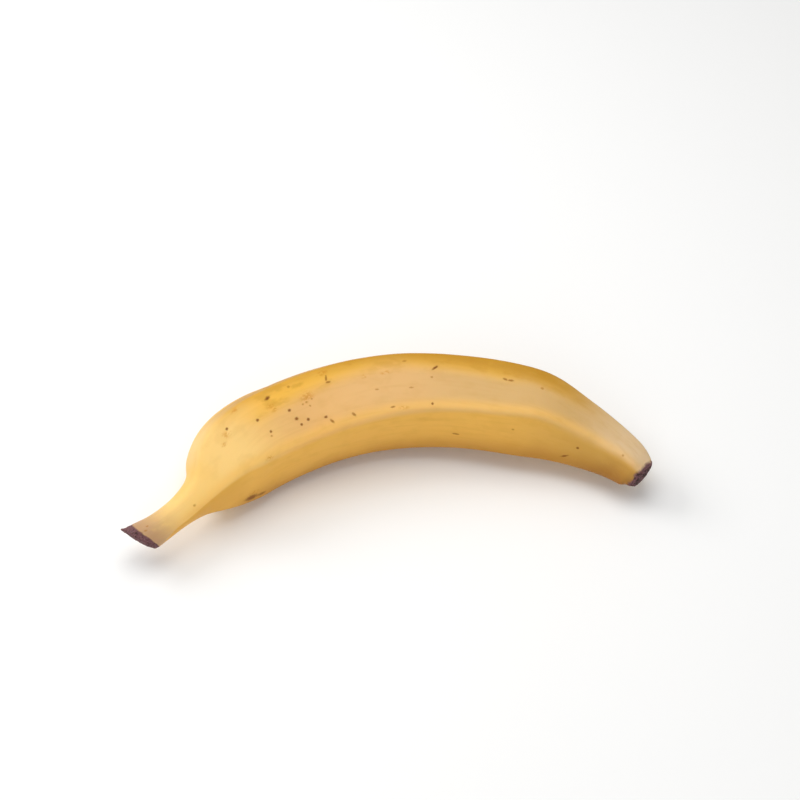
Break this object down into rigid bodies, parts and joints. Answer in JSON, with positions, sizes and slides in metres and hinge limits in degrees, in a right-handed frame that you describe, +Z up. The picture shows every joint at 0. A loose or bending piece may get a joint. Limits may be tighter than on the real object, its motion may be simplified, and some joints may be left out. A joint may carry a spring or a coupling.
{
  "type": "plantain",
  "caption": "Ripe plantain lying on its side: a curved fruit with soft lengthwise ridges, a slim cut stalk and a dried blossom end.",
  "frame": {"origin": "middle of the fruit's box, on the surface that it lies on", "axes": "+X from the stalk to the blossom end along the straight line between them, +Y away from the hollow of the curve, +Z up from the surface"},
  "size_m": [0.2486, 0.0886, 0.0464],
  "materials": {
    "peel": "satin, waxy yellow fruit peel with fine brown marks; stalk cut and blossom end dried dark brown"
  },
  "bodies": {
    "root": {"plantain": "peel"}
  },
  "joints": []
}
